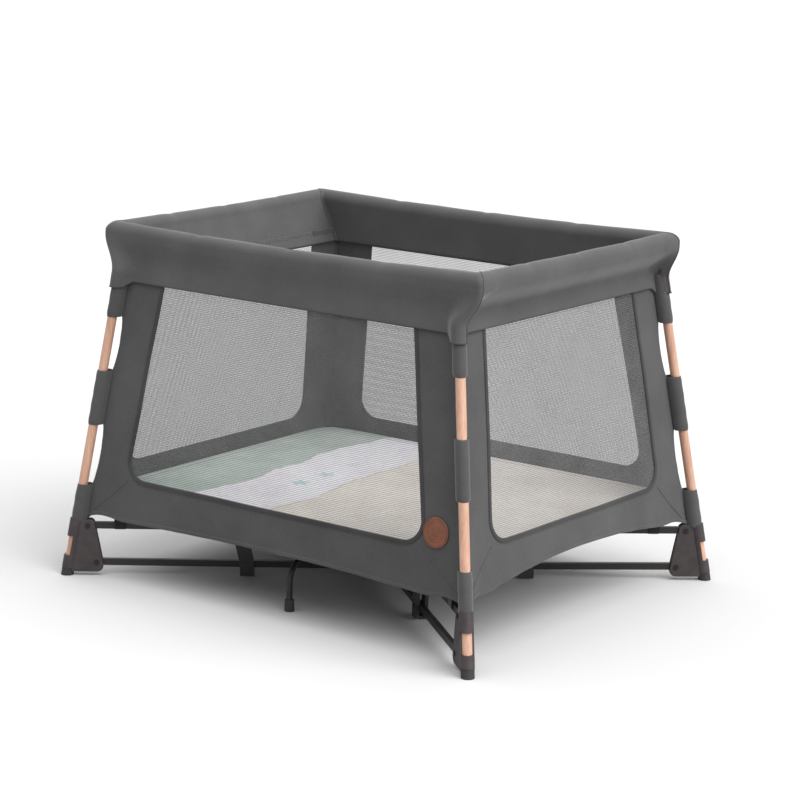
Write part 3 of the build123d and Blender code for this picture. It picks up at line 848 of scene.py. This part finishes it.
def rim_rows():
    """Rows of rim points, from the outer hem up over the roll and down to the inner hem."""
    outer = corner_path(RIM_X, RIM_Y, RIM_CORNER, EAR)
    inner = corner_path(RIM_X - RIM_THICK, RIM_Y - RIM_THICK, RIM_INNER_CORNER)
    leg = leg_at(RIM_HEM_Z)
    inner_hem = corner_path(leg.x - WALL_INSET - 0.010, leg.y - WALL_INSET - 0.010, RIM_INNER_CORNER)
    columns = range(len(outer))
    hem = [skirt_point(RIM_HEM_Z, k) for k in columns]

    def dip(k):
        """Extra drop of the hem at the leg, where a tab runs down it."""
        far = math.hypot(hem[k][0] - leg.x, hem[k][1] - leg.y)
        return TAB_DROP * (1 - ease((far - TAB_RADIUS) / TAB_FADE))

    def sag(k):
        x, y = outer[k]
        if k < SEAM_COLUMN:
            return SAG_LONG * max(0.0, 1 - (x / RIM_X) ** 2)
        return SAG_SHORT * max(0.0, 1 - (y / RIM_Y) ** 2)

    rows = []
    for r in range(SKIRT_ROWS):
        h = r / SKIRT_ROWS
        flare = ease((h - FLARE_START) / FLARE_RUN)
        row = []
        for k in columns:
            z = (RIM_HEM_Z - dip(k)) * (1 - h) + ROLL_Z * h - sag(k) * h
            row.append(Vector((*between(skirt_point(z, k), outer[k], flare), z)))
        rows.append(row)
    for r in range(ROLL_ROWS + 1):
        angle = math.pi * r / ROLL_ROWS
        share, top = (1 - math.cos(angle)) / 2, ROLL_Z + ROLL * math.sin(angle)
        rows.append([Vector((*between(outer[k], inner[k], share), top - sag(k))) for k in columns])
    for r in range(1, DROP_ROWS + 1):
        h = r / DROP_ROWS
        row = []
        for k in columns:
            top = ROLL_Z - sag(k)
            z = top + (RIM_HEM_Z + 0.006 - top) * h
            row.append(Vector((*between(inner[k], inner_hem[k], h), z)))
        rows.append(row)
    return rows


RIM_ROWS = rim_rows()


def padded(corner, p, row):
    """A rim point in its corner, with the soft waves of the padding and small dimples where
    the cover is stitched down."""
    sx, sy = CORNERS[corner]
    place = Vector((p.x * sx, p.y * sy, p.z))
    long_side = p.y > RIM_Y - 0.05 and p.x < RIM_X - 0.05
    hem_hold = ease(row / 6) * ease((len(RIM_ROWS) - 1 - row) / 5)
    wave = (ripple(place, 7, 1.0) * 0.0020 + ripple(place, 19, 8.0) * 0.0008) * hem_hold
    along = p.x if long_side else p.y
    dimple = 0.0
    for middle in (0.0, 0.237 if long_side else 0.172):
        depth = 0.0016 + 0.0012 * ripple((middle * sx, sy, 0), 3, 2.0)
        dimple += depth * math.exp(-((along - middle) / 0.011) ** 2)
    dimple *= math.exp(-((p.z - RIM_TOP + 0.014) / 0.020) ** 2)
    away = Vector((0, sy, 0)) if long_side else Vector((sx, 0, 0))
    if p.x > RIM_X - 0.05 and p.y > RIM_Y - 0.05:
        away = Vector((sx, sy, 0)) * 0.4
    side = 1.0 if row < SKIRT_ROWS + ROLL_ROWS / 2 else -1.0
    return place + away * (wave * side) + Vector((0, 0, wave * 0.5 - dimple))


def build_rim(corner):
    sx, sy = CORNERS[corner]
    rows = [[padded(corner, p, r) for p in row] for r, row in enumerate(RIM_ROWS)]
    for kind, first, last in (("long", 0, SEAM_COLUMN), ("short", SEAM_COLUMN, len(rows[0]) - 1)):
        points = [p for row in rows for p in row[first:last + 1]]
        faces = grid_faces(len(rows), last - first + 1)
        if sx * sy > 0:
            faces = turned(faces)
        rim = new_piece(f"rim_{kind}_{corner}", points, faces, RIM_FABRIC, None, 0.003)
        for part, _ in gather(rim, corner, kind == "long"):
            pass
        if kind == "long":
            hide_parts(f"rim_cover_{corner}")
    build_piping(corner, "rim_seam", [row[SEAM_COLUMN] for row in rows], 0.0009, True)
    # the dark cord along the outer hem is hem piping and also painted shade: it darkens the line where the
    # wall steps in under the rim
    for name, row, radius in (("rim_hem_piping_and_painted_shade", rows[0], 0.0010), ("rim_piping", rows[-1], 0.0016)):
        build_piping(corner, f"{name}_long", row[:SEAM_COLUMN + 1], radius, True)
        build_piping(corner, f"{name}_short", row[SEAM_COLUMN:], radius, False)


def build_piping(corner, name, line, radius, long_side):
    """A thin raised seam or piping along a line of points. The dark cord along the rim's outer hem is partly
    piping and partly painted shade.
    """
    around = 6
    points = []
    side = Vector((0.3, 0.2, 1)).normalized()
    for i, p in enumerate(line):
        run = (line[min(i + 1, len(line) - 1)] - line[max(i - 1, 0)]).normalized()
        side = (side - run * side.dot(run)).normalized()
        other = run.cross(side)
        points += [p + (side * c + other * s) * radius for c, s in circle(around)]
    faces = grid_faces(len(line), around, around=True)
    last = (len(line) - 1) * around
    faces += [tuple(reversed(range(around))), tuple(range(last, last + around))]
    piece = new_piece(f"{name}_{corner}", points, faces, BINDING)
    gather(piece, corner, long_side)


# ---- floor and mattress ----
FLOOR_INSET = 0.011        # clear of the walls, which belly inward at the hem
FLOOR_END = 0.585          # the floor's corners are cut off here, short of the brackets
GORES = 8
GORE_HALF = 0.312          # half width of a quarter of the floor, across the diagonal


def clip(outline, normal, limit):
    """The part of a flat outline on the near side of a line."""
    out = []
    for a, b in zip(outline, outline[1:] + outline[:1]):
        reach_a, reach_b = (p[0] * normal[0] + p[1] * normal[1] - limit for p in (a, b))
        if reach_a <= 0:
            out.append(a)
        if reach_a * reach_b < 0:
            out.append(between(a, b, reach_a / (reach_a - reach_b)))
    return out


def build_floor(corner):
    """A quarter of the fabric floor, in gores along the diagonal. Each gore hangs on the upper
    arm and moves with it as it is."""
    z = PANEL_LOW.z + 0.001
    x, y = PANEL_HIGH.x - FLOOR_INSET, PANEL_HIGH.y - FLOOR_INSET
    quarter = clip([(0.0, 0.0), (x, 0.0), (x, y), (0.0, y)], (ALONG.x, ALONG.y), FLOOR_END)
    width = 2 * GORE_HALF / GORES
    for number in range(GORES):
        low = -GORE_HALF + width * number
        outline = clip(quarter, (ACROSS.x, ACROSS.y), low + width)
        outline = clip(outline, (-ACROSS.x, -ACROSS.y), -low)
        points = [(a, b, z) for a, b in outline]
        points, faces = to_corner(points, [tuple(range(len(points)))], corner)
        gore = new_piece(f"floor_{number}_{corner}", points, faces, DARK_CLOTH, None, 0.002, 0, 1.0)
        if corner == "front_right" and number == 0:
            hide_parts("floor_panel")
        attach(gore, f"upper_arm_{corner}")
        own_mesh(gore)


PAD_PROFILE = ((0.0, -0.002), (0.006, -0.006), (0.014, -0.002), (0.020, 0.000), (0.027, -0.001),
               (0.032, -0.006), (0.0345, -0.016), (0.0355, -0.034))   # (height, outward)
PAD_SQUARENESS = 2 / 18    # the power that makes a circle into a rectangle with rounded corners
PAD_EDGE = 0.034           # width of the rounded edge round the top
PAD_TOP = 0.0350
PAD_CROWN = 0.0025


def build_mattress():
    """A thin pad with a crowned, softly waved top, rounded corners and a rounded edge."""
    low = MATTRESS_LOW
    half_x, half_y = MATTRESS_HIGH.x - 0.002, MATTRESS_HIGH.y - 0.002
    steps = 96
    points = []
    for rise, out in PAD_PROFILE:
        for c, s in circle(steps):
            x = math.copysign(abs(c) ** PAD_SQUARENESS, c) * (half_x + out)
            y = math.copysign(abs(s) ** PAD_SQUARENESS, s) * (half_y + out)
            points.append(Vector((x, y, low.z + rise)))
    faces = grid_faces(len(PAD_PROFILE), steps, around=True) + turned([range(steps)])
    data = bpy.data.meshes.new("mattress_pad")
    data.from_pydata(points, [], faces)
    data.materials.append(PRINT)
    for polygon in data.polygons:
        polygon.use_smooth = True
    pad = put_in_scene(bpy.data.objects.new("mattress_pad", data))
    columns, rows = 60, 48
    top = []
    for j in range(rows + 1):
        for i in range(columns + 1):
            a, b = -1 + 2 * i / columns, -1 + 2 * j / rows
            x, y = a * (half_x - PAD_EDGE), b * (half_y - PAD_EDGE)
            crown = (1 - a ** 4) * (1 - b ** 4)
            wave = noise.noise(Vector((x * 6, y * 6, 2.0))) * 0.002
            top.append(Vector((x, y, low.z + PAD_TOP + (PAD_CROWN + wave) * crown)))
    cover = new_piece("mattress_top", top, grid_faces(rows + 1, columns + 1), PRINT)
    bpy.ops.object.select_all(action="DESELECT")
    pad.select_set(True)
    cover.select_set(True)
    bpy.context.view_layer.objects.active = pad
    bpy.ops.object.join()
    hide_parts("mattress")
    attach(pad, "mattress")
    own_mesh(pad)


# ---- patch ----
# from the middle out: (share of the radius, height)
PATCH_PROFILE = ((0.0, 0.0016), (0.22, 0.0016), (0.27, 0.0009), (0.32, 0.0016), (0.62, 0.0016),
                 (0.665, 0.0009), (0.71, 0.0016), (0.88, 0.0017), (0.97, 0.0013), (1.0, 0.0004),
                 (1.0, -0.0010))
STITCHES = 40
STITCH_RING = 0.90
STITCH_CORNERS = ((-1, -1, 0), (1, -1, 0), (1, 1, 0), (-1, 1, 0), (0, 0, 1))
STITCH_SIZE = (0.0014, 0.0005, 0.0006)   # half length, half width and height


def build_patch():
    """A round leather patch with a raised rim, two embossed rings and a ring of stitches."""
    low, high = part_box("leather_patch")
    centre = (low + high) / 2
    radius = (high.x - low.x) / 2
    out = Vector((0, -1, LEAN_Y)).normalized()
    side = Vector((1, 0, 0))
    upward = out.cross(side).normalized()
    if upward.z < 0:
        upward = -upward
    around = 72
    points = [centre + out * PATCH_PROFILE[0][1]]
    for share, height in PATCH_PROFILE[1:]:
        for c, s in circle(around):
            points.append(centre + (side * c + upward * s) * (radius * share) + out * height)
    faces = [(0, 1 + i, 1 + (i + 1) % around) for i in range(around)]
    faces += grid_faces(len(PATCH_PROFILE) - 1, around, first=1, around=True)
    patch = new_piece("patch", points, faces, LEATHER)
    stitches, stitch_faces = [], []
    length, width, height = STITCH_SIZE
    for c, s in circle(STITCHES):
        tangent, radial = upward * c - side * s, side * c + upward * s
        middle = centre + radial * (radius * STITCH_RING) + out * 0.0018
        first = len(stitches)
        for along, across, up in STITCH_CORNERS:
            offset = tangent * (along * length) + radial * (across * width) + out * (up * height)
            stitches.append(middle + offset)
        stitch_faces += [(first + n, first + (n + 1) % 4, first + 4) for n in range(4)]
    thread = new_piece("patch_stitches", stitches, stitch_faces, BINDING)
    for piece in (patch, thread):
        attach(piece, "leg_front_right")
    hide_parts("leather_patch")


# ---- straps under the floor ----
STRAPS = (0.46, 0.565)     # distance of each strap from the centre, along the diagonal
ARM_START = 0.078          # the upper arm's middle line: where it starts, how far it runs,
ARM_RUN = 0.555            # how high it starts, and how much it rises
ARM_Z = 0.105
ARM_RISE = 0.0035
STRAP_HALF = 0.0125        # half the webbing's width
LOOP_HALF = (0.0072, 0.0092)   # half the loop's width and height round the arm
TAIL_HALF = 0.004          # half the thickness of the doubled webbing above the arm


def build_straps(corner):
    """Webbing loops that hang the floor on the upper arm."""
    half_w, half_h = LOOP_HALF
    for number, reach in enumerate(STRAPS):
        centre = ALONG * reach
        mid_z = ARM_Z + ARM_RISE * (reach - ARM_START) / ARM_RUN
        shoulder, neck = mid_z + half_h, mid_z + half_h + 0.010
        right = [(half_w, mid_z - half_h), (half_w + 0.0006, shoulder), (TAIL_HALF, neck),
                 (TAIL_HALF, PANEL_LOW.z)]
        loop = [(-half_w, mid_z - half_h)] + right + [(-across, z) for across, z in reversed(right[1:])]
        points = []
        for along in (-STRAP_HALF, -STRAP_HALF * 0.4, STRAP_HALF * 0.4, STRAP_HALF):
            for across, z in loop:
                p = centre + ALONG * along + ACROSS * across
                points.append(Vector((p.x, p.y, z)))
        points, faces = to_corner(points, grid_faces(4, len(loop), around=True), corner)
        strap = new_piece(f"floor_strap_{number}_{corner}", points, faces, WEBBING, None, 0.0014, 1, 1.0)
        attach(strap, f"upper_arm_{corner}")


# ---- put it together ----
for corner in CORNERS:
    build_wall(LONG_WALL, corner)
    build_wall(SHORT_WALL, corner)
    build_wall_corner(corner)
    build_sleeves(corner)
    build_rim(corner)
    build_floor(corner)
    build_straps(corner)
build_mattress()
build_patch()


# ---- stage, light and camera ----
STAGE_HALF = 30.0
STAGE_Z = -0.0005
STAGE_WHITE = (0.45, 0.45, 0.45)
AMBIENT = 0.78             # the white surroundings' strength where they light the object
BACKDROP = 1.0             # and where they show behind it


def build_stage():
    """A wide matt floor in even white."""
    mesh = bpy.data.meshes.new("stage_floor")
    corners = [(x * STAGE_HALF, y * STAGE_HALF, STAGE_Z) for x, y in ((-1, -1), (1, -1), (1, 1), (-1, 1))]
    mesh.from_pydata(corners, [], [(0, 1, 2, 3)])
    m = Nodes("stage_white")
    m.surface(Base_Color=STAGE_WHITE, Roughness=0.9, Specular_IOR_Level=0.1)
    mesh.materials.append(m.material)
    put_in_scene(bpy.data.objects.new("stage_floor", mesh))
    world = bpy.data.worlds.new("studio")
    world.use_nodes = True
    tree = world.node_tree
    background = tree.nodes["Background"]
    background.inputs["Color"].default_value = (1, 1, 1, 1)
    path = tree.nodes.new("ShaderNodeLightPath")
    strength = tree.nodes.new("ShaderNodeMapRange")
    strength.inputs["To Min"].default_value = AMBIENT
    strength.inputs["To Max"].default_value = BACKDROP
    tree.links.new(path.outputs["Is Camera Ray"], strength.inputs["Value"])
    tree.links.new(strength.outputs["Result"], background.inputs["Strength"])
    bpy.context.scene.world = world


def sun(name, comes_from, spread, strength):
    """A very large soft light, even over the floor."""
    data = bpy.data.lights.new(name, "SUN")
    data.angle = math.radians(spread)
    data.energy = strength
    light = put_in_scene(bpy.data.objects.new(name, data))
    light.rotation_euler = Vector(comes_from).to_track_quat("Z", "Y").to_euler()


CAMERA_PLACE = (3.2546, -4.1992, 1.5785)
CAMERA_YAW = math.radians(-37.540)
CAMERA_PITCH = math.radians(12.658)
CAMERA_ROLL = math.radians(0.905)
LENS_MM = 116.88


def build_camera():
    """A long lens from the front right, above the rim."""
    ahead = Vector((math.sin(CAMERA_YAW) * math.cos(CAMERA_PITCH),
                    math.cos(CAMERA_YAW) * math.cos(CAMERA_PITCH), -math.sin(CAMERA_PITCH)))
    right = Vector((math.cos(CAMERA_YAW), -math.sin(CAMERA_YAW), 0))
    above = right.cross(ahead)
    tilt_right = right * math.cos(CAMERA_ROLL) + above * math.sin(CAMERA_ROLL)
    tilt_above = above * math.cos(CAMERA_ROLL) - right * math.sin(CAMERA_ROLL)
    data = bpy.data.cameras.new("camera")
    data.sensor_width = 36.0
    data.lens = LENS_MM
    camera = put_in_scene(bpy.data.objects.new("camera", data))
    turn = Matrix((tilt_right, tilt_above, -ahead)).transposed()
    camera.matrix_world = Matrix.Translation(CAMERA_PLACE) @ turn.to_4x4()
    bpy.context.scene.camera = camera


build_stage()
sun("key", (1.0, 0.05, 0.80), 60, 4.1)
sun("top", (0.0, -0.12, 1.0), 90, 2.6)
build_camera()
bpy.context.scene.view_settings.view_transform = "Standard"
